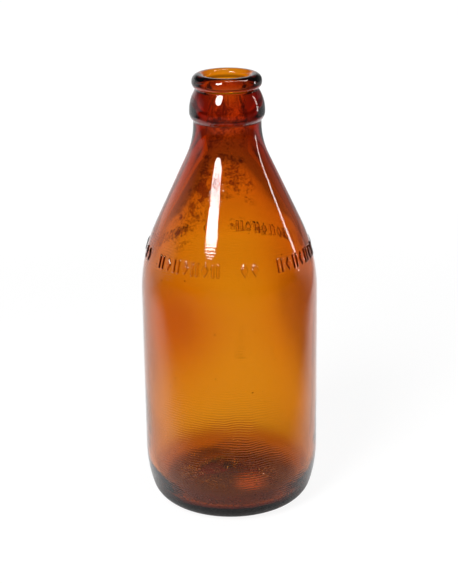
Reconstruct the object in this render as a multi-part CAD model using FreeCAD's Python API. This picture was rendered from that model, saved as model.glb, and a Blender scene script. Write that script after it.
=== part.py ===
"""An empty amber glass beer bottle with a short neck and a crown finish, as one solid of glass.

The bottle stands on the plane z = 0 with its axis on +Z. All sizes are in millimetres.
"""
import FreeCAD, Part
import math
import os

# Overall sizes
height = 171.0
body_radius = 34.15
neck_radius = 12.9

# Foot and heel
heel_radius = 8.8
heel_curve_radius = 49.5
heel_curve_top = 21.5
bearing_width = 3.0
push_up = 3.0

# Shoulder and neck
shoulder_radius = 64.0
shoulder_angle = 25.15
neck_curve_radius = 29.0
neck_land = 1.4

# Collar below the crown bead
collar_rise = 1.4
collar_under_radius = 4.2
collar_land = 0.5
collar_curve_radius = 14.5

# Crown bead and lip
bead_radius = 13.2
bead_round = 2.6
bead_land = 0.4
bead_under_radius = 2.8
groove_depth = 1.5
lip_round = 1.9
rim_land = 0.6

# Inside
body_wall = 2.4
bore_radius = 8.1
throat_curve_radius = 24.0
base_thickness = 4.5
inner_heel_radius = 6.0

# Raised band of plain marks on the shoulder's arc
band_offset = 17.6
band_start = -143.0
mark_rise = 0.45
mark_root = 0.6
mark_tall = 4.8
mark_pitch = 7.3
rib_width = 1.0
rib_spacing = 1.9
lozenge_width = 2.6
long_group = "RLRLRLR"
short_group = "LL"
group_repeats = 4


def point(radius, level):
    """A point of the section, in the XZ plane."""
    return FreeCAD.Vector(radius, 0, level)


class Outline:
    """Edges joined end to end in the XZ plane, starting at one point."""

    def __init__(self, radius, level):
        self.end = (radius, level)
        self.edges = []

    def line_to(self, radius, level):
        """A straight edge, left out where the outline is there already."""
        if math.hypot(radius - self.end[0], level - self.end[1]) > 1e-6:
            self.edges.append(Part.LineSegment(point(*self.end), point(radius, level)).toShape())
        self.end = (radius, level)

    def arc_to(self, centre, radius, angle):
        """An arc about centre that runs the short way round to the given angle, in radians."""
        start = math.atan2(self.end[1] - centre[1], self.end[0] - centre[0])
        middle = angle - math.remainder(angle - start, 2 * math.pi) / 2
        stop = on_circle(centre, radius, angle)
        arc = Part.Arc(point(*self.end), point(*on_circle(centre, radius, middle)), point(*stop))
        self.edges.append(arc.toShape())
        self.end = stop


def on_circle(centre, radius, angle):
    """The point at an angle on a circle of the section."""
    return (centre[0] + radius * math.cos(angle), centre[1] + radius * math.sin(angle))


def heel_circles(side_radius, curve_radius, small_radius, floor):
    """The centres of the heel's small arc and long arc, and the angle where they meet."""
    long_centre = (side_radius - curve_radius, heel_curve_top)
    rise = heel_curve_top - floor - small_radius
    reach = curve_radius - small_radius
    small_centre = (long_centre[0] + math.sqrt(reach ** 2 - rise ** 2), floor + small_radius)
    return small_centre, long_centre, -math.asin(rise / reach)


def cone_angle(lower_centre, lower_radius, upper_centre, upper_radius):
    """The lean from the vertical of the straight line that touches both shoulder circles."""
    across = upper_centre[0] - lower_centre[0]
    up = upper_centre[1] - lower_centre[1]
    turn = math.asin((lower_radius + upper_radius) / math.hypot(across, up))
    return turn - math.atan2(across, up)


# The rim's two roundings are limited by the wall between the bore and the bead.
rim_room = bead_radius - bore_radius - rim_land
rounding = min(1, rim_room / (bead_round + lip_round))
bead_top_radius = bead_round * rounding
lip_inner_radius = lip_round * rounding

# The bead and the collar are set out downwards from the rim.
# The collar stands proud of the neck below it and of the groove above it.
groove_radius = bead_radius - groove_depth
collar_radius = max(neck_radius, groove_radius) + collar_rise
bead_level = height - bead_top_radius
bead_under_level = bead_level - bead_land
groove_turn = math.acos((groove_radius - bead_radius + bead_under_radius) / bead_under_radius)
groove_level = bead_under_level - bead_under_radius * math.sin(groove_turn)
collar_turn = math.acos((groove_radius - collar_radius + collar_curve_radius) / collar_curve_radius)
collar_level = groove_level - collar_curve_radius * math.sin(collar_turn)
collar_under_level = collar_level - collar_land
crease_turn = math.acos((neck_radius - collar_radius + collar_under_radius) / collar_under_radius)
crease_level = collar_under_level - collar_under_radius * math.sin(crease_turn)
neck_level = crease_level - neck_land

# The straight side ends where the shoulder, leaning at its angle, reaches the neck.
lean = math.radians(shoulder_angle)
shoulder_arcs = shoulder_radius + neck_curve_radius
cone_length = (body_radius - neck_radius - shoulder_arcs * (1 - math.cos(lean))) / math.sin(lean)
side_top = neck_level - shoulder_arcs * math.sin(lean) - cone_length * math.cos(lean)
band_level = side_top + band_offset


def add_shoulder(outline, side_radius, round_radius, neck, curve_radius):
    """The side, the shoulder's arc, its cone and the arc into the neck, going up."""
    lower_centre = (side_radius - round_radius, side_top)
    upper_centre = (neck + curve_radius, neck_level)
    angle = cone_angle(lower_centre, round_radius, upper_centre, curve_radius)
    outline.line_to(side_radius, side_top)
    outline.arc_to(lower_centre, round_radius, angle)
    outline.line_to(*on_circle(upper_centre, curve_radius, angle + math.pi))
    outline.arc_to(upper_centre, curve_radius, math.pi)


def add_finish(outline):
    """The neck's land, the collar, the groove and the crown bead, going up to the rim."""
    outline.line_to(neck_radius, crease_level)
    outline.arc_to((collar_radius - collar_under_radius, collar_under_level), collar_under_radius, 0)
    outline.line_to(collar_radius, collar_level)
    outline.arc_to((collar_radius - collar_curve_radius, collar_level), collar_curve_radius, collar_turn)
    outline.arc_to((bead_radius - bead_under_radius, bead_under_level), bead_under_radius, 0)
    outline.line_to(bead_radius, bead_level)
    outline.arc_to((bead_radius - bead_top_radius, bead_level), bead_top_radius, math.pi / 2)


def section():
    """The closed half section of the glass, from the axis under the base to the axis inside."""
    foot, heel_centre, heel_turn = heel_circles(body_radius, heel_curve_radius, heel_radius, 0)
    outline = Outline(0, push_up)
    ring = foot[0] - bearing_width
    dome = (ring ** 2 - push_up ** 2) / (2 * push_up)
    outline.arc_to((0, -dome), dome + push_up, math.atan2(dome, ring))
    outline.line_to(foot[0], 0)
    outline.arc_to(foot, heel_radius, heel_turn)
    outline.arc_to(heel_centre, heel_curve_radius, 0)
    add_shoulder(outline, body_radius, shoulder_radius, neck_radius, neck_curve_radius)
    add_finish(outline)

    inside = Outline(0, base_thickness + push_up)
    side_radius = body_radius - body_wall
    inner_curve = heel_curve_radius - body_wall
    floor, curve_centre, floor_turn = heel_circles(side_radius, inner_curve, inner_heel_radius, base_thickness)
    inside.arc_to((0, base_thickness - dome), dome + push_up, math.atan2(dome, ring))
    inside.line_to(floor[0], base_thickness)
    inside.arc_to(floor, inner_heel_radius, floor_turn)
    inside.arc_to(curve_centre, inner_curve, 0)
    add_shoulder(inside, side_radius, shoulder_radius - body_wall, bore_radius, throat_curve_radius)
    lip_level = height - lip_inner_radius
    inside.line_to(bore_radius, lip_level)
    inside.arc_to((bore_radius + lip_inner_radius, lip_level), lip_inner_radius, math.pi / 2)

    outline.line_to(*inside.end)
    axis = Part.LineSegment(point(0, push_up), point(0, base_thickness + push_up)).toShape()
    return Part.Wire(outline.edges + inside.edges[::-1] + [axis])


def band_ring():
    """The ring of glass that the raised marks are cut from: it follows the shoulder's arc."""
    centre = (body_radius - shoulder_radius, side_top)
    low = math.asin((band_offset - mark_tall / 2) / shoulder_radius)
    high = math.asin((band_offset + mark_tall / 2) / shoulder_radius)
    outer = shoulder_radius + mark_rise
    inner = shoulder_radius - mark_root
    ring = Outline(*on_circle(centre, outer, low))
    ring.arc_to(centre, outer, high)
    ring.line_to(*on_circle(centre, inner, high))
    ring.arc_to(centre, inner, low)
    ring.line_to(*on_circle(centre, outer, low))
    return revolved(Part.Wire(ring.edges))


def revolved(wire):
    """The solid that a closed section makes about the bottle's axis."""
    return Part.Face(wire).revolve(FreeCAD.Vector(0, 0, 0), FreeCAD.Vector(0, 0, 1), 360)


def prism(corners, turn):
    """A prism along +X with the given (across, level) corners, turned about the bottle's axis."""
    start = body_radius / 2
    points = [FreeCAD.Vector(start, across, level) for across, level in corners]
    face = Part.Face(Part.makePolygon(points + points[:1]))
    solid = face.extrude(FreeCAD.Vector(body_radius, 0, 0))
    solid.rotate(FreeCAD.Vector(0, 0, 0), FreeCAD.Vector(0, 0, 1), turn)
    return solid


def rib_prisms(turn):
    """A pair of upright ribs, side by side."""
    low = band_level - mark_tall
    high = band_level + mark_tall
    prisms = []
    for middle in (-rib_spacing / 2, rib_spacing / 2):
        left = middle - rib_width / 2
        right = middle + rib_width / 2
        prisms.append(prism([(left, low), (right, low), (right, high), (left, high)], turn))
    return prisms


def lozenge_prisms(turn):
    """One lozenge, as tall as the band."""
    half = mark_tall / 2
    side = lozenge_width / 2
    corners = [(0, band_level - half), (side, band_level), (0, band_level + half), (-side, band_level)]
    return [prism(corners, turn)]


def band_prisms():
    """Groups of marks in turn all the way round, the same in each share of the circle."""
    share = 360 / group_repeats
    gap = (share - mark_pitch * (len(long_group) + len(short_group) - 2)) / 2
    prisms = []
    for repeat in range(group_repeats):
        turn = band_start + repeat * share
        for group in (long_group, short_group):
            for index, mark in enumerate(group):
                maker = rib_prisms if mark == "R" else lozenge_prisms
                prisms.extend(maker(turn + index * mark_pitch))
            turn += (len(group) - 1) * mark_pitch + gap
    return prisms


def bottle():
    """The glass with its raised marks, as one solid."""
    marks = band_ring().common(band_prisms())
    glass = revolved(section()).fuse(marks.Solids)
    return glass.removeSplitter().Solids[0]


os.makedirs("parts", exist_ok=True)
solid = bottle()
solid.exportStep("parts/bottle.step")
print("bottle: valid", solid.isValid(), "glass %.2f cm3" % (solid.Volume / 1000))
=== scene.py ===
import math

import bpy
import numpy as np
from mathutils import Matrix, Vector


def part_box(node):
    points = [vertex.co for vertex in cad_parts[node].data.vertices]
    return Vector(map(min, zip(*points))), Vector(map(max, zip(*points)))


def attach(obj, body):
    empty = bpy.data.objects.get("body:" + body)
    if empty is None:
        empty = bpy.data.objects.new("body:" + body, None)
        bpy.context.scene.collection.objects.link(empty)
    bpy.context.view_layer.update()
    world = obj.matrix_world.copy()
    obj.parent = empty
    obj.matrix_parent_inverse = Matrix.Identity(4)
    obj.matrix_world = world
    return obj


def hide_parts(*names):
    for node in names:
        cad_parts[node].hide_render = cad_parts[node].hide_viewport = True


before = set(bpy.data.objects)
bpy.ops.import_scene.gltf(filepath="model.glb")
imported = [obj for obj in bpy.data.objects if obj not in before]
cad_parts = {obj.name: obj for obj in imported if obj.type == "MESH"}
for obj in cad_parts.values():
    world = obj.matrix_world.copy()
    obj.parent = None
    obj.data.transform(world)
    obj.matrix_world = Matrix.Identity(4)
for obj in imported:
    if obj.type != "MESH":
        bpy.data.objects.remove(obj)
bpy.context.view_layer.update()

MM = 0.001

# ---------------------------------------------------------------------------------------------
# Sizes of the glass, in millimetres and degrees. The overall ones come from the frame.
# ---------------------------------------------------------------------------------------------
high_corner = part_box("bottle")[1]
HEIGHT = high_corner.z / MM
BODY_RADIUS = high_corner.x / MM
NECK_RADIUS = 12.9

HEEL_RADIUS = 8.8
HEEL_CURVE_RADIUS = 49.5
HEEL_CURVE_TOP = 21.5
BEARING_WIDTH = 3.0
PUSH_UP = 3.0

SHOULDER_RADIUS = 64.0
SHOULDER_ANGLE = 25.15
NECK_CURVE_RADIUS = 29.0
NECK_LAND = 1.4

COLLAR_RISE = 1.4
COLLAR_UNDER_RADIUS = 4.2
COLLAR_LAND = 0.5
COLLAR_CURVE_RADIUS = 14.5

BEAD_RADIUS = 13.2
BEAD_ROUND = 2.6
BEAD_LAND = 0.4
BEAD_UNDER_RADIUS = 2.8
GROOVE_DEPTH = 1.5
LIP_ROUND = 1.9

BODY_WALL = 2.4
BORE_RADIUS = 8.1
THROAT_CURVE_RADIUS = 24.0
BASE_THICKNESS = 4.5
INNER_HEEL_RADIUS = 6.0

# The raised band on the shoulder's arc, where R is a pair of ribs and L is a lozenge.
# Its start is an angle round from the front, and its pitch an angle from mark to mark.
BAND_OFFSET = 17.6
BAND_START = -53.0
MARK_RISE = 0.45
MARK_TALL = 4.8
MARK_PITCH = 7.3
MARK_SOFT = 0.45
RIB_WIDTH = 1.0
RIB_SPACING = 1.9
LOZENGE_WIDTH = 2.6
LONG_GROUP = "RLRLRLR"
SHORT_GROUP = "LL"
GROUP_REPEATS = 4

# How finely the mesh follows the outline: points round a ring, and the longest steps along it.
# The arcs' step is in radians.
COLUMNS = 256
BAND_COLUMNS = 1024
OUTER_STEP = 3.5
INNER_STEP = 2.2
COLLAR_STEP = 0.6
RIM_STEP = 0.3
BAND_STEP = 0.25
BAND_MARGIN = 0.6
ARC_STEP = math.radians(4)
SAME_PLACE = 1e-6

# Places below are (angle round from the front, level, spread round, spread up, strength).
# The blown inside isn't true. The strength here is extra thickness: below 0, the wall is thinner.
THICK_PLACES = (
    (-38, 82, 24, 16, 1.5),
    (52, 92, 30, 24, 0.9),
    (-150, 60, 40, 25, 0.5),
    (180, 8.5, 65, 4.5, 2.2),
    (0, 42, 300, 14, -0.3),
    (120, 100, 30, 25, 0.5),
)

# The wall is also thicker all round from the cone to the rim, and the inside floor is higher.
UPPER_EXTRA = 0.5
UPPER_FROM = 95
UPPER_RISE = 16
FLOOR_EXTRA = 0.8
FLOOR_FADE = (8.0, 16.0)

# Dried residue inside, and a ring that only makes the glass darker all round the collar
RESIDUE_AND_DARK_RING_PLACES = (
    (-40, 136, 13, 8, 0.85),
    (-27, 126, 12, 8, 0.75),
    (-46, 122, 12, 6, 0.50),
    (8, 138, 20, 6, 0.50),
    (22, 131, 14, 7, 0.48),
    # This ring only makes the glass darker all round the collar; no residue is known there.
    (0, 157, 300, 7, 0.65),
    (4, 147, 50, 5, 0.28),
    (-22, 145, 20, 4, 0.28),
    (-5, 130, 14, 6, 0.32),
    (170, 105, 12, 3.0, 0.60),
    (150, 104, 9, 3.0, 0.60),
    (124, 103, 12, 3.5, 0.60),
    (-145, 106, 14, 3.5, 0.40),
    (-128, 102, 10, 4, 0.40),
    (-46, 112, 14, 5, 0.45),
    (171, 50, 12, 10, 0.26),
)

# Worn places outside
WEAR_PLACES = (
    (-13, 133, 5, 5, 1.0),
    (-28, 22, 9, 2.5, 0.60),
    (-9, 18, 8, 2, 0.60),
    (20, 21, 10, 2.5, 0.50),
)


# ---------------------------------------------------------------------------------------------
# Outlines of the glass, as points (radius, level)
# ---------------------------------------------------------------------------------------------
def on_circle(centre, radius, angle):
    """The point at an angle on a circle of the section."""
    return (centre[0] + radius * math.cos(angle), centre[1] + radius * math.sin(angle))


class Outline:
    """Points along a section, set out from lines and arcs no coarser than a step."""

    def __init__(self, radius, level, step):
        self.points = [(radius, level)]
        self.step = step

    def line_to(self, radius, level):
        """A straight line, left out where the outline is there already."""
        start = self.points[-1]
        length = math.hypot(radius - start[0], level - start[1])
        if length > SAME_PLACE:
            count = math.ceil(length / self.step)
            for i in range(1, count + 1):
                across = start[0] + (radius - start[0]) * i / count
                up = start[1] + (level - start[1]) * i / count
                self.points.append((across, up))

    def arc_to(self, centre, radius, angle, arc_step=ARC_STEP):
        """An arc about centre that runs the short way round to the given angle, in radians."""
        start_point = self.points[-1]
        start = math.atan2(start_point[1] - centre[1], start_point[0] - centre[0])
        sweep = math.remainder(angle - start, 2 * math.pi)
        longest = min(arc_step, self.step / radius)
        count = max(1, math.ceil(abs(sweep) / longest))
        for i in range(1, count + 1):
            self.points.append(on_circle(centre, radius, start + sweep * i / count))


def heel_circles(side_radius, curve_radius, small_radius, floor):
    """The centres of the heel's small arc and long arc, and the angle where they meet."""
    long_centre = (side_radius - curve_radius, HEEL_CURVE_TOP)
    rise = HEEL_CURVE_TOP - floor - small_radius
    reach = curve_radius - small_radius
    small_centre = (long_centre[0] + math.sqrt(reach ** 2 - rise ** 2), floor + small_radius)
    return small_centre, long_centre, -math.asin(rise / reach)


def cone_angle(lower_centre, lower_radius, upper_centre, upper_radius):
    """The lean from the vertical of the straight line that touches both shoulder circles."""
    across = upper_centre[0] - lower_centre[0]
    up = upper_centre[1] - lower_centre[1]
    turn = math.asin((lower_radius + upper_radius) / math.hypot(across, up))
    return turn - math.atan2(across, up)


# The push-up is a shallow dome inside the bearing ring. The inside floor is the same dome, higher up.
foot, heel_centre, heel_turn = heel_circles(BODY_RADIUS, HEEL_CURVE_RADIUS, HEEL_RADIUS, 0)
ring_radius = foot[0] - BEARING_WIDTH
dome_drop = (ring_radius ** 2 - PUSH_UP ** 2) / (2 * PUSH_UP)
dome_radius = dome_drop + PUSH_UP
dome_turn = math.atan2(dome_drop, ring_radius)

# The bead and the collar are set out downwards from the rim.
groove_radius = BEAD_RADIUS - GROOVE_DEPTH
collar_radius = max(NECK_RADIUS, groove_radius) + COLLAR_RISE
bead_level = HEIGHT - BEAD_ROUND
bead_under_level = bead_level - BEAD_LAND
groove_turn = math.acos((groove_radius - BEAD_RADIUS + BEAD_UNDER_RADIUS) / BEAD_UNDER_RADIUS)
groove_level = bead_under_level - BEAD_UNDER_RADIUS * math.sin(groove_turn)
collar_turn = math.acos((groove_radius - collar_radius + COLLAR_CURVE_RADIUS) / COLLAR_CURVE_RADIUS)
collar_level = groove_level - COLLAR_CURVE_RADIUS * math.sin(collar_turn)
collar_under_level = collar_level - COLLAR_LAND
crease_turn = math.acos((NECK_RADIUS - collar_radius + COLLAR_UNDER_RADIUS) / COLLAR_UNDER_RADIUS)
crease_level = collar_under_level - COLLAR_UNDER_RADIUS * math.sin(crease_turn)
neck_level = crease_level - NECK_LAND

# The straight side ends where the shoulder, leaning at its angle, reaches the neck.
lean = math.radians(SHOULDER_ANGLE)
shoulder_arcs = SHOULDER_RADIUS + NECK_CURVE_RADIUS
cone_length = (BODY_RADIUS - NECK_RADIUS - shoulder_arcs * (1 - math.cos(lean))) / math.sin(lean)
side_top = neck_level - shoulder_arcs * math.sin(lean) - cone_length * math.cos(lean)
side_centre = (BODY_RADIUS - SHOULDER_RADIUS, side_top)
band_level = side_top + BAND_OFFSET
band_low = math.asin((BAND_OFFSET - MARK_TALL / 2 - BAND_MARGIN) / SHOULDER_RADIUS)
band_high = math.asin((BAND_OFFSET + MARK_TALL / 2 + BAND_MARGIN) / SHOULDER_RADIUS)


def add_finish(path):
    """The neck's land, the collar, the groove and the crown bead, going up to the rim."""
    path.step = COLLAR_STEP
    path.line_to(NECK_RADIUS, crease_level)
    path.arc_to((collar_radius - COLLAR_UNDER_RADIUS, collar_under_level), COLLAR_UNDER_RADIUS, 0)
    path.line_to(collar_radius, collar_level)
    path.arc_to((collar_radius - COLLAR_CURVE_RADIUS, collar_level), COLLAR_CURVE_RADIUS, collar_turn)
    path.step = RIM_STEP
    path.arc_to((BEAD_RADIUS - BEAD_UNDER_RADIUS, bead_under_level), BEAD_UNDER_RADIUS, 0)
    path.line_to(BEAD_RADIUS, bead_level)
    path.arc_to((BEAD_RADIUS - BEAD_ROUND, bead_level), BEAD_ROUND, math.pi / 2)


def outer_points():
    """The outside, from the axis under the base up to the rim, and which of its points are the band."""
    upper_centre = (NECK_RADIUS + NECK_CURVE_RADIUS, neck_level)
    path = Outline(0, PUSH_UP, OUTER_STEP)
    path.arc_to((0, -dome_drop), dome_radius, dome_turn)
    path.line_to(foot[0], 0)
    path.arc_to(foot, HEEL_RADIUS, heel_turn)
    path.arc_to(heel_centre, HEEL_CURVE_RADIUS, 0)
    path.line_to(BODY_RADIUS, side_top)
    path.arc_to(side_centre, SHOULDER_RADIUS, band_low)
    first = len(path.points)
    path.arc_to(side_centre, SHOULDER_RADIUS, band_high, BAND_STEP / SHOULDER_RADIUS)
    band = range(first, len(path.points))
    path.arc_to(side_centre, SHOULDER_RADIUS, lean)
    path.line_to(*on_circle(upper_centre, NECK_CURVE_RADIUS, lean + math.pi))
    path.arc_to(upper_centre, NECK_CURVE_RADIUS, math.pi)
    add_finish(path)
    return path.points, band


def inner_points():
    """The inside, from the rim down to the middle of the inner floor."""
    side = BODY_RADIUS - BODY_WALL
    curve = HEEL_CURVE_RADIUS - BODY_WALL
    floor, curve_centre, floor_turn = heel_circles(side, curve, INNER_HEEL_RADIUS, BASE_THICKNESS)
    round_radius = SHOULDER_RADIUS - BODY_WALL
    upper_centre = (BORE_RADIUS + THROAT_CURVE_RADIUS, neck_level)
    angle = cone_angle(side_centre, round_radius, upper_centre, THROAT_CURVE_RADIUS)
    path = Outline(0, BASE_THICKNESS + PUSH_UP, INNER_STEP)
    path.arc_to((0, BASE_THICKNESS - dome_drop), dome_radius, dome_turn)
    path.line_to(floor[0], BASE_THICKNESS)
    path.arc_to(floor, INNER_HEEL_RADIUS, floor_turn)
    path.arc_to(curve_centre, curve, 0)
    path.line_to(side, side_top)
    path.arc_to(side_centre, round_radius, angle)
    path.line_to(*on_circle(upper_centre, THROAT_CURVE_RADIUS, angle + math.pi))
    path.arc_to(upper_centre, THROAT_CURVE_RADIUS, math.pi)
    path.line_to(BORE_RADIUS, HEIGHT - LIP_ROUND)
    path.step = RIM_STEP
    path.arc_to((BORE_RADIUS + LIP_ROUND, HEIGHT - LIP_ROUND), LIP_ROUND, math.pi / 2)
    return path.points[::-1]


def normals_of(points):
    """The direction away from the glass at each point of an outline, in the section."""
    line = np.array(points)
    along = np.gradient(line, axis=0)
    along /= np.linalg.norm(along, axis=1)[:, None]
    return np.stack([along[:, 1], -along[:, 0]], axis=1)


# ---------------------------------------------------------------------------------------------
# What varies round the glass
# ---------------------------------------------------------------------------------------------
def round_angles(columns):
    """Angles round from the front, in degrees, for one ring of points."""
    return np.arange(columns) * (360 / columns)


def turned(angle):
    """An angle in degrees brought between -180 and 180."""
    return (angle + 180) % 360 - 180


def eased(share):
    """A smooth step from 0 to 1."""
    share = np.clip(share, 0, 1)
    return share * share * (3 - 2 * share)


def humps(angle, level, places):
    """The sum of smooth humps, each as high as its strength at the middle of its place."""
    total = np.zeros_like(angle)
    for middle, height, spread_round, spread_up, strength in places:
        across = turned(angle - middle) / spread_round
        up = (level - height) / spread_up
        total += strength * np.exp(-across ** 2 - up ** 2)
    return total


def wall_extra(angle, level):
    """How much thicker than true the wall is, round one ring of the inside."""
    upper = min(level - UPPER_FROM, HEIGHT - level) / UPPER_RISE
    floor = (FLOOR_FADE[1] - level) / (FLOOR_FADE[1] - FLOOR_FADE[0])
    return humps(angle, level, THICK_PLACES) + UPPER_EXTRA * eased(upper) + FLOOR_EXTRA * eased(floor)


def marks_round():
    """The kind of each mark of the band, and its angle."""
    share = 360 / GROUP_REPEATS
    gap = (share - MARK_PITCH * (len(LONG_GROUP) + len(SHORT_GROUP) - 2)) / 2
    marks = []
    for repeat in range(GROUP_REPEATS):
        turn = BAND_START + repeat * share
        for group in (LONG_GROUP, SHORT_GROUP):
            marks += [(kind, turn + i * MARK_PITCH) for i, kind in enumerate(group)]
            turn += (len(group) - 1) * MARK_PITCH + gap
    return marks


def inside_ribs(across, up):
    """How far inside the nearer of a pair of ribs a point lies, below 0 outside them."""
    from_side = RIB_WIDTH / 2 - np.abs(np.abs(across) - RIB_SPACING / 2)
    return np.minimum(from_side, MARK_TALL / 2 - abs(up))


def inside_lozenge(across, up):
    """How far inside a lozenge a point lies, below 0 outside it."""
    slope = 2 * math.hypot(1 / LOZENGE_WIDTH, 1 / MARK_TALL)
    return (1 - np.abs(across) * 2 / LOZENGE_WIDTH - abs(up) * 2 / MARK_TALL) / slope


def band_relief(angle, radius, level):
    """How far the marks stand out of the glass, round one ring of the band."""
    height = np.zeros_like(angle)
    for kind, turn in marks_round():
        across = np.radians(turned(angle - turn)) * radius
        depth_inside = inside_ribs if kind == "R" else inside_lozenge
        inside = depth_inside(across, level - band_level)
        height = np.maximum(height, eased(inside / MARK_SOFT + 0.5))
    return height * MARK_RISE


# ---------------------------------------------------------------------------------------------
# The mesh
# ---------------------------------------------------------------------------------------------
def pairs(ring):
    """Each point of a ring with the next one round."""
    return zip(ring, ring[1:] + ring[:1])


def fan(coarse, fine):
    """Triangles from each edge of the coarser ring to the finer ring's points above it."""
    faces = []
    ratio = len(fine) // len(coarse)
    half = ratio // 2
    closed = fine + fine[:1]
    for i, (left, right) in enumerate(pairs(coarse)):
        above = closed[i * ratio:(i + 1) * ratio + 1]
        faces += [(left, above[j + 1], above[j]) for j in range(half)]
        faces.append((left, right, above[half]))
        faces += [(right, above[j + 1], above[j]) for j in range(half, ratio)]
    return faces


def faces_between(lower, upper):
    """Faces that join two rings. Either may be a single point, or have several times the points."""
    if len(lower) == len(upper):
        return [(a, b, d, c) for (a, b), (c, d) in zip(pairs(lower), pairs(upper))]
    if len(lower) == 1:
        return [(lower[0], b, a) for a, b in pairs(upper)]
    if len(upper) == 1:
        return [(a, b, upper[0]) for a, b in pairs(lower)]
    if len(lower) < len(upper):
        return fan(lower, upper)
    return [face[::-1] for face in fan(upper, lower)]


class Lathe:
    """A closed mesh built ring by ring about the axis."""

    def __init__(self):
        self.points = []
        self.faces = []
        self.last = []
        self.count = 0

    def ring(self, radius, level, columns):
        """Adds a ring and joins it to the one before. radius and level may vary round it."""
        angle = np.radians(round_angles(columns))
        x = radius * np.sin(angle)
        y = -radius * np.cos(angle)
        z = level * np.ones(columns)
        self.points.append(np.stack([x, y, z], axis=1))
        ring = list(range(self.count, self.count + columns))
        if self.last:
            self.faces += faces_between(self.last, ring)
        self.last = ring
        self.count += columns

    def mesh(self, name):
        """The finished mesh, in metres."""
        points = np.concatenate(self.points) * MM
        mesh = bpy.data.meshes.new(name)
        mesh.from_pydata(points.tolist(), [], self.faces)
        mesh.update()
        mesh.shade_smooth()
        return mesh


def add_outside(lathe):
    """The outside's rings, with the band's marks standing out."""
    outline, band = outer_points()
    normals = normals_of(outline)
    lathe.ring(0, outline[0][1], 1)
    for i, (radius, level) in enumerate(outline[1:], 1):
        columns = BAND_COLUMNS if i in band else COLUMNS
        rise = band_relief(round_angles(columns), radius, level) if i in band else 0
        lathe.ring(radius + rise * normals[i][0], level + rise * normals[i][1], columns)


def add_inside(lathe):
    """The uneven inside's rings, from the rim down to the middle of the floor."""
    outline = inner_points()
    normals = normals_of(outline)
    angles = round_angles(COLUMNS)
    for i, (radius, level) in enumerate(outline[:-1]):
        extra = wall_extra(angles, level)
        lathe.ring(radius + extra * normals[i][0], level + extra * normals[i][1], COLUMNS)
    lathe.ring(0, outline[-1][1], 1)


def mark_places(mesh, outside_count):
    """Attributes that say which points are inside, and how much residue (with the darker ring round the
    collar) and wear lies at each.
    """
    count = len(mesh.vertices)
    place = np.zeros(count * 3)
    mesh.vertices.foreach_get("co", place)
    x, y, level = place.reshape(-1, 3).T / MM
    angle = np.degrees(np.arctan2(x, -y))
    inside = np.arange(count) >= outside_count
    values = {
        "inside": inside,
        "residue": humps(angle, level, RESIDUE_AND_DARK_RING_PLACES) * inside,
        "wear": humps(angle, level, WEAR_PLACES) * ~inside,
    }
    for name, value in values.items():
        attribute = mesh.attributes.new(name, "FLOAT", "POINT")
        attribute.data.foreach_set("value", value.astype(np.float32))


def make_glass():
    """The bottle's glass in one closed skin: outside, band, finish and the uneven inside."""
    lathe = Lathe()
    add_outside(lathe)
    outside_count = lathe.count
    add_inside(lathe)
    glass = bpy.data.objects.new("bottle_glass", lathe.mesh("bottle_glass"))
    bpy.context.scene.collection.objects.link(glass)
    mark_places(glass.data, outside_count)
    return glass


# ---------------------------------------------------------------------------------------------
# Materials. A change is (first, last, before, after): a value goes smoothly from before to after
# as another goes from first to last. Noise is given by its cells per metre.
# ---------------------------------------------------------------------------------------------
WHITE = (1, 1, 1, 1)


class Nodes:
    """A short way to write one node tree."""

    def __init__(self, tree):
        self.tree = tree
        tree.nodes.clear()

    def add(self, kind, inputs=(), **settings):
        """A node with its settings and its inputs, each a value or another node's output."""
        node = self.tree.nodes.new(kind)
        for key, value in settings.items():
            setattr(node, key, value)
        for key, value in dict(inputs).items():
            self.put(node.inputs[key], value)
        return node

    def put(self, socket, value):
        """Links an output to the socket, or sets the socket's own value."""
        if isinstance(value, bpy.types.NodeSocket):
            self.tree.links.new(value, socket)
        else:
            socket.default_value = value

    def math(self, operation, a, b=0.0):
        """One step of arithmetic."""
        return self.add("ShaderNodeMath", {0: a, 1: b}, operation=operation).outputs[0]

    def chain(self, operation, *values):
        """The values put together with one operation, from the first to the last."""
        result = values[0]
        for value in values[1:]:
            result = self.math(operation, result, value)
        return result

    def change(self, value, first, last, before=0.0, after=1.0):
        """A smooth change from before to after as value goes from first to last."""
        inputs = {"Value": value, "From Min": first, "From Max": last, "To Min": before, "To Max": after}
        return self.add("ShaderNodeMapRange", inputs, interpolation_type="SMOOTHSTEP").outputs["Result"]

    def mix(self, factor, a, b):
        """A colour from a to b. A Mix node's colours are its inputs 6 and 7 and its output 2."""
        return self.add("ShaderNodeMix", {0: factor, 6: a, 7: b}, data_type="RGBA").outputs[2]

    def noise(self, position, cells, detail=2.0, roughness=0.55):
        """Noise from 0 to 1 with so many cells per metre."""
        inputs = {"Vector": position, "Scale": cells, "Detail": detail, "Roughness": roughness}
        return self.add("ShaderNodeTexNoise", inputs).outputs["Fac"]

    def attribute(self, name):
        """A value that the mesh holds at its points."""
        return self.add("ShaderNodeAttribute", attribute_name=name).outputs["Fac"]

    def distance(self, position, centre):
        """How far a position is from a fixed place."""
        node = self.add("ShaderNodeVectorMath", {0: position, 1: centre}, operation="DISTANCE")
        return node.outputs["Value"]


def new_material(name):
    """An empty material, and the nodes to write it with."""
    material = bpy.data.materials.new(name)
    material.use_nodes = True
    return material, Nodes(material.node_tree)


# Amber: the absorption over a metre of glass is the density times what the colour lacks of 1.
AMBER = (0.927, 0.736, 0.0, 1)
AMBER_DENSITY = 1200.0
GLASS_ROUGHNESS = 0.01
GLASS_IOR = 1.52

# Residue is broken up by patches and finer grain. It fades out at the edge of its places.
RESIDUE = (0.16, 0.07, 0.06, 1)
PATCH_CELLS = 260.0
PATCH_STRENGTH = 2.6
GRAIN_CELLS = 1100.0
GRAIN_STRENGTH = 2.4
RESIDUE_SHOWS = (0.20, 1.00)
RESIDUE_EDGE = (0.02, 0.40)

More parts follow.
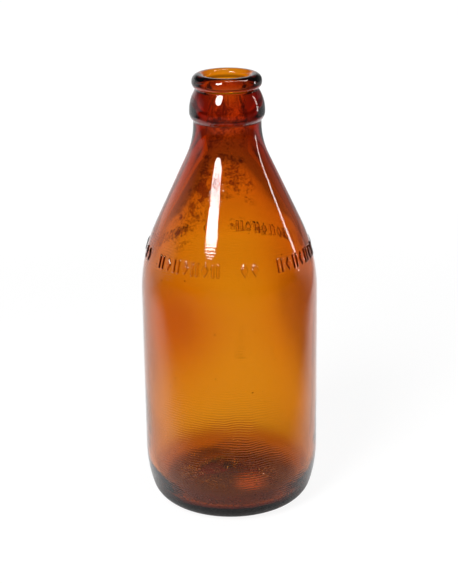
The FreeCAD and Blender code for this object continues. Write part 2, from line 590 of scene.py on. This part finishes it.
# Small dark specks on the glass: about two cells in five hold one, and its edge is in cells.
SPECK_CELLS = 200.0
SPECK_EDGE = (0.04, 0.08, 1.0, 0.0)
SPECK_CHOSEN = (0.60, 0.65)

# Mould ripples outside, in patches, in millimetres. They fade out between the two levels.
RIPPLE_PITCH = 1.0
RIPPLE_HEIGHT = 0.017
RIPPLE_DRIFT = 3.0
RIPPLE_DRIFT_CELLS = 90.0
RIPPLE_PATCH_CELLS = 40.0
RIPPLE_PATCH = (0.42, 0.62, 0.1, 1.0)
RIPPLE_TOP = (110, 122)

# Slow waves all over, grit on the inside floor and rough spots in the worn places, in millimetres.
# The grit fades out between its two levels.
WAVE_CELLS = 70.0
WAVE_HEIGHT = 0.10
GRIT_CELLS = 900.0
GRIT_SHOWS = (0.58, 0.66)
GRIT_HEIGHT = 0.20
GRIT_TOP = (8, 13)
PIT_CELLS = 1300.0
PIT_SHOWS = (0.63, 0.73)
PIT_HEIGHT = 0.12
PIT_WEAR = 0.15
WEAR_EDGE = (0.0, 0.2)


def residue_cover(nodes, position):
    """How much of the glass dried residue, and the darker ring round the collar, cover, from 0 to 1."""
    residue = nodes.attribute("residue")
    broad = nodes.noise(position, PATCH_CELLS, roughness=0.6)
    patches = nodes.math("SUBTRACT", broad, 0.5)
    fine = nodes.noise(position, GRAIN_CELLS, detail=4.0, roughness=0.75)
    grain = nodes.math("SUBTRACT", fine, 0.5)
    strong_patches = nodes.math("MULTIPLY", patches, PATCH_STRENGTH)
    strong_grain = nodes.math("MULTIPLY", grain, GRAIN_STRENGTH)
    amount = nodes.chain("ADD", strong_patches, strong_grain, residue)
    shown = nodes.change(amount, *RESIDUE_SHOWS)
    return nodes.math("MULTIPLY", shown, nodes.change(residue, *RESIDUE_EDGE))


def speck_cover(nodes, position):
    """Where a small dark speck lies."""
    cells = nodes.add("ShaderNodeTexVoronoi", {"Vector": position, "Scale": SPECK_CELLS})
    dot = nodes.change(cells.outputs["Distance"], *SPECK_EDGE)
    chance = nodes.add("ShaderNodeSeparateColor", {0: cells.outputs["Color"]}).outputs["Red"]
    return nodes.math("MULTIPLY", dot, nodes.change(chance, *SPECK_CHOSEN))


def ripple_height(nodes, position, level):
    """Fine ripples, one above the other, which wander up and down and come and go."""
    noise = nodes.noise(position, RIPPLE_DRIFT_CELLS, detail=3.0)
    drift = nodes.math("MULTIPLY", noise, RIPPLE_DRIFT * MM)
    turns = nodes.math("MULTIPLY", nodes.math("ADD", level, drift), 2 * math.pi / (RIPPLE_PITCH * MM))
    ripple = nodes.math("SINE", turns)
    patch = nodes.change(nodes.noise(position, RIPPLE_PATCH_CELLS), *RIPPLE_PATCH)
    below = nodes.change(level, RIPPLE_TOP[0] * MM, RIPPLE_TOP[1] * MM, 1.0, 0.0)
    return nodes.chain("MULTIPLY", ripple, patch, below, RIPPLE_HEIGHT * MM)


def grit_height(nodes, position, level):
    """Grit lying low down."""
    grit = nodes.change(nodes.noise(position, GRIT_CELLS, detail=1.0), *GRIT_SHOWS, 0.0, GRIT_HEIGHT * MM)
    below = nodes.change(level, GRIT_TOP[0] * MM, GRIT_TOP[1] * MM, 1.0, 0.0)
    return nodes.math("MULTIPLY", grit, below)


def pit_height(nodes, position):
    """The rough spots of the worn places."""
    wear = nodes.attribute("wear")
    more = nodes.math("MULTIPLY", wear, PIT_WEAR)
    worn = nodes.math("ADD", more, nodes.noise(position, PIT_CELLS))
    pits = nodes.change(worn, *PIT_SHOWS, 0.0, PIT_HEIGHT * MM)
    return nodes.math("MULTIPLY", pits, nodes.change(wear, *WEAR_EDGE))


def surface_height(nodes, position):
    """The relief of the glass, in metres: waves, ripples outside, grit inside and worn spots."""
    level = nodes.add("ShaderNodeSeparateXYZ", {0: position}).outputs["Z"]
    inside = nodes.attribute("inside")
    outside = nodes.math("SUBTRACT", 1.0, inside)
    slow = nodes.noise(position, WAVE_CELLS, detail=1.0)
    wave = nodes.math("MULTIPLY", slow, WAVE_HEIGHT * MM)
    ripples = nodes.math("MULTIPLY", ripple_height(nodes, position, level), outside)
    grit = nodes.math("MULTIPLY", grit_height(nodes, position, level), inside)
    return nodes.chain("ADD", wave, grit, ripples, pit_height(nodes, position))


def glass_material():
    """Amber glass: clear surfaces with fine relief, colour in the depth, residue and specks."""
    material, nodes = new_material("amber_glass")
    position = nodes.add("ShaderNodeNewGeometry").outputs["Position"]
    cover = nodes.math("MAXIMUM", residue_cover(nodes, position), speck_cover(nodes, position))
    bump_inputs = {"Height": surface_height(nodes, position), "Strength": 1.0, "Distance": 1.0}
    bump = nodes.add("ShaderNodeBump", bump_inputs)
    surface_inputs = {
        "Base Color": nodes.mix(cover, WHITE, RESIDUE),
        "Roughness": GLASS_ROUGHNESS,
        "IOR": GLASS_IOR,
        "Transmission Weight": 1.0,
        "Normal": bump.outputs["Normal"],
    }
    surface = nodes.add("ShaderNodeBsdfPrincipled", surface_inputs)
    volume = nodes.add("ShaderNodeVolumeAbsorption", {"Color": AMBER, "Density": AMBER_DENSITY})
    outputs = {"Surface": surface.outputs[0], "Volume": volume.outputs[0]}
    nodes.add("ShaderNodeOutputMaterial", outputs)
    return material


# ---------------------------------------------------------------------------------------------
# The floor. It gives a different light to the camera, to what the glass mirrors and to what
# shows through the glass. Distances are in metres: x to the right, y away to the back.
# ---------------------------------------------------------------------------------------------
FLOOR_SIZE = 6.0
FLOOR_COLOR = (0.10, 0.10, 0.10, 1)
BOTTLE_FOOT = (0, 0, 0)

# To the camera: nearly white, and white further off
SEEN = (0.25, 0.60, 0.915, 1.0)

# Mirrored: a ring round the foot, a pool of light behind it to the left, and the back
MIRRORED_NEAR = (0.075, 0.105, 0.4, 0.0)
POOL_CENTRE = (-0.065, 0.26, 0)
MIRRORED_POOL = (0.27, 0.35, 1.0, 0.0)
MIRRORED_BACK = (0.05, 0.35)
MIRRORED_BACK_ACROSS = (-0.15, 0.35, 0.75, 0.35)

# Through the glass: brighter some way off, dim far off, and dimmer on both sides close behind
THROUGH_NEAR = (0.25, 0.50, 0.97, 1.12)
THROUGH_FAR = (0.62, 0.88, 1.0, 0.38)
SIDES_DIMMER = (0.035, 0.075, 0.0, 0.42)
SIDES_START = (0.0, 0.04)
SIDES_END = (0.22, 0.40, 1.0, 0.0)

# Shade under the bottle, and a spot of light that the bottle gathers there
FOOT_SHADE = (0.022, 0.048, 0.17, 1.0)
SHADE_CENTRE = (0.005, 0.028, 0)
BACK_SHADE = (0.022, 0.065, 0.75, 1.0)
SPOT_CENTRE = (0.0075, 0, 0)
SPOT_LIGHT = (0.002, 0.009, 0.9, 0.0)
SPOT_COLOR = (1.0, 0.88, 0.4, 1)


def floor_mirrored(nodes, position, x, y):
    """The floor's light as the glass mirrors it."""
    near = nodes.change(nodes.distance(position, BOTTLE_FOOT), *MIRRORED_NEAR)
    pool = nodes.change(nodes.distance(position, POOL_CENTRE), *MIRRORED_POOL)
    across = nodes.change(x, *MIRRORED_BACK_ACROSS)
    back = nodes.math("MULTIPLY", nodes.change(y, *MIRRORED_BACK), across)
    return nodes.chain("MAXIMUM", pool, near, back)


def floor_through(nodes, position, x, y):
    """The floor's light as it shows through the glass."""
    away = nodes.distance(position, BOTTLE_FOOT)
    far = nodes.math("MULTIPLY", nodes.change(away, *THROUGH_NEAR), nodes.change(away, *THROUGH_FAR))
    beside = nodes.change(nodes.math("ABSOLUTE", x), *SIDES_DIMMER)
    close = nodes.math("MULTIPLY", nodes.change(y, *SIDES_START), nodes.change(y, *SIDES_END))
    dimmed = nodes.math("MULTIPLY", beside, close)
    return nodes.math("MULTIPLY", far, nodes.math("SUBTRACT", 1.0, dimmed))


def floor_light(nodes, position):
    """The strength of the floor's own light, for each kind of ray."""
    split = nodes.add("ShaderNodeSeparateXYZ", {0: position})
    x = split.outputs["X"]
    y = split.outputs["Y"]
    ray = nodes.add("ShaderNodeLightPath")
    mirrored = floor_mirrored(nodes, position, x, y)
    through = floor_through(nodes, position, x, y)
    to_glass = nodes.change(ray.outputs["Is Transmission Ray"], 0.0, 1.0, mirrored, through)
    from_foot = nodes.distance(position, BOTTLE_FOOT)
    foot_shade = nodes.change(from_foot, *FOOT_SHADE)
    back_shade = nodes.change(nodes.distance(position, SHADE_CENTRE), *BACK_SHADE)
    shaded = nodes.chain("MULTIPLY", to_glass, foot_shade, back_shade)
    seen = nodes.change(from_foot, *SEEN)
    return nodes.change(ray.outputs["Is Camera Ray"], 0.0, 1.0, shaded, seen)


def floor_material():
    """Pale paper: a little of the lamps' light and shadow on top of its own light."""
    material, nodes = new_material("pale_floor")
    position = nodes.add("ShaderNodeNewGeometry").outputs["Position"]
    spot_strength = nodes.change(nodes.distance(position, SPOT_CENTRE), *SPOT_LIGHT)
    paper = nodes.add("ShaderNodeBsdfDiffuse", {"Color": FLOOR_COLOR})
    light_inputs = {"Color": WHITE, "Strength": floor_light(nodes, position)}
    light = nodes.add("ShaderNodeEmission", light_inputs)
    spot = nodes.add("ShaderNodeEmission", {"Color": SPOT_COLOR, "Strength": spot_strength})
    lights = nodes.add("ShaderNodeAddShader", {0: light.outputs[0], 1: spot.outputs[0]})
    both = nodes.add("ShaderNodeAddShader", {0: paper.outputs[0], 1: lights.outputs[0]})
    nodes.add("ShaderNodeOutputMaterial", {"Surface": both.outputs[0]})
    return material


def make_floor():
    """The plain pale floor."""
    half = FLOOR_SIZE / 2
    mesh = bpy.data.meshes.new("floor")
    corners = [(-half, -half, 0), (half, -half, 0), (half, half, 0), (-half, half, 0)]
    mesh.from_pydata(corners, [], [(0, 1, 2, 3)])
    floor = bpy.data.objects.new("floor", mesh)
    bpy.context.scene.collection.objects.link(floor)
    mesh.materials.append(floor_material())


# ---------------------------------------------------------------------------------------------
# The world: white to the camera. To the glass it is bright low down: mirrored from the left and
# from behind, and through the glass all round. Changes follow a direction's x, y or z.
# ---------------------------------------------------------------------------------------------
WORLD_DIM = 0.04
LOW_DOWN = (0.10, 0.45, 1.0, 0.0)
LEFT_ACROSS = (-0.35, -0.75, 0.0, 0.55)
LEFT_AWAY = (-0.30, 0.10)
BACK_AWAY = (0.3, 0.8)
BACK_ACROSS = (-0.1, 0.45, 0.95, 0.12)
THROUGH_ACROSS = (-0.2, 0.7, 0.95, 0.50)


def make_world():
    """The light that comes from all round."""
    world = bpy.data.worlds.new("studio")
    bpy.context.scene.world = world
    world.use_nodes = True
    nodes = Nodes(world.node_tree)
    direction = nodes.add("ShaderNodeTexCoord").outputs["Generated"]
    way = nodes.add("ShaderNodeSeparateXYZ", {0: direction})
    x = way.outputs["X"]
    y = way.outputs["Y"]
    ray = nodes.add("ShaderNodeLightPath")
    left = nodes.math("MULTIPLY", nodes.change(x, *LEFT_ACROSS), nodes.change(y, *LEFT_AWAY))
    back = nodes.math("MULTIPLY", nodes.change(y, *BACK_AWAY), nodes.change(x, *BACK_ACROSS))
    mirrored = nodes.math("MAXIMUM", left, back)
    through = nodes.change(x, *THROUGH_ACROSS)
    to_glass = nodes.change(ray.outputs["Is Transmission Ray"], 0.0, 1.0, mirrored, through)
    low_light = nodes.math("MULTIPLY", to_glass, nodes.change(way.outputs["Z"], *LOW_DOWN))
    around = nodes.math("ADD", low_light, WORLD_DIM)
    strength = nodes.math("MAXIMUM", ray.outputs["Is Camera Ray"], around)
    background = nodes.add("ShaderNodeBackground", {"Color": WHITE, "Strength": strength})
    nodes.add("ShaderNodeOutputWorld", {"Surface": background.outputs[0]})


# ---------------------------------------------------------------------------------------------
# Lamps and camera, in metres and degrees, with the lens and its sensor in millimetres
# ---------------------------------------------------------------------------------------------
LAMP_TARGET = Vector((0, 0, 0.12))
LAMP_DISTANCE = 1.0

# Lamps as (name, shape, angle round from the front, lowest and highest elevation, width, radiance,
# whether it shows through the glass). The angles are as seen from the bottle.
LAMPS = (
    ("softbox_left", "ELLIPSE", -29.5, 24, 58, 20, 24.0, False),
    ("strip_right", "RECTANGLE", 104, -5, 25, 4, 9.0, False),
    ("overhead", "RECTANGLE", 105, 50, 94, 8, 10.0, True),
)


def across_view(degrees):
    """The size that fills so many degrees at the lamps' distance."""
    return 2 * LAMP_DISTANCE * math.tan(math.radians(degrees) / 2)


def make_lamp(name, shape, around, low, high, width, radiance, through):
    """An area lamp that fills the given range of directions as seen from the bottle."""
    turn = math.radians(around)
    middle = math.radians((low + high) / 2)
    forward = math.cos(middle)
    direction = Vector((math.sin(turn) * forward, -math.cos(turn) * forward, math.sin(middle)))
    data = bpy.data.lights.new(name, "AREA")
    data.shape = shape
    data.size = across_view(width)
    data.size_y = across_view(high - low)
    filled = math.pi / 4 if shape == "ELLIPSE" else 1.0
    data.energy = radiance * math.pi * data.size * data.size_y * filled
    lamp = bpy.data.objects.new(name, data)
    lamp.location = LAMP_TARGET + direction * LAMP_DISTANCE
    lamp.rotation_euler = (-direction).to_track_quat("-Z", "Y").to_euler()
    lamp.visible_camera = False
    lamp.visible_transmission = through
    bpy.context.scene.collection.objects.link(lamp)


CAMERA_PLACE = (-0.0002, -0.575, 0.2882)
CAMERA_PITCH = 19.49
CAMERA_ROLL = 0.77
CAMERA_LENS = 96.35
CAMERA_SENSOR = 36
CAMERA_CLIP = 0.01


def make_camera():
    """The camera in front of the bottle, looking down at it."""
    data = bpy.data.cameras.new("camera")
    data.sensor_width = CAMERA_SENSOR
    data.lens = CAMERA_LENS
    data.clip_start = CAMERA_CLIP
    camera = bpy.data.objects.new("camera", data)
    pitch = math.radians(CAMERA_PITCH)
    roll = math.radians(CAMERA_ROLL)
    level = Vector((1, 0, 0))
    upright = Vector((0, math.sin(pitch), math.cos(pitch)))
    right = level * math.cos(roll) - upright * math.sin(roll)
    up = level * math.sin(roll) + upright * math.cos(roll)
    turn = Matrix((right, up, right.cross(up))).transposed().to_4x4()
    camera.matrix_world = Matrix.Translation(CAMERA_PLACE) @ turn
    bpy.context.scene.collection.objects.link(camera)
    bpy.context.scene.camera = camera


glass = make_glass()
glass.data.materials.append(glass_material())
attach(glass, "root")
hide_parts("bottle")

make_floor()
make_world()
for lamp in LAMPS:
    make_lamp(*lamp)
make_camera()
bpy.context.scene.view_settings.view_transform = "Standard"
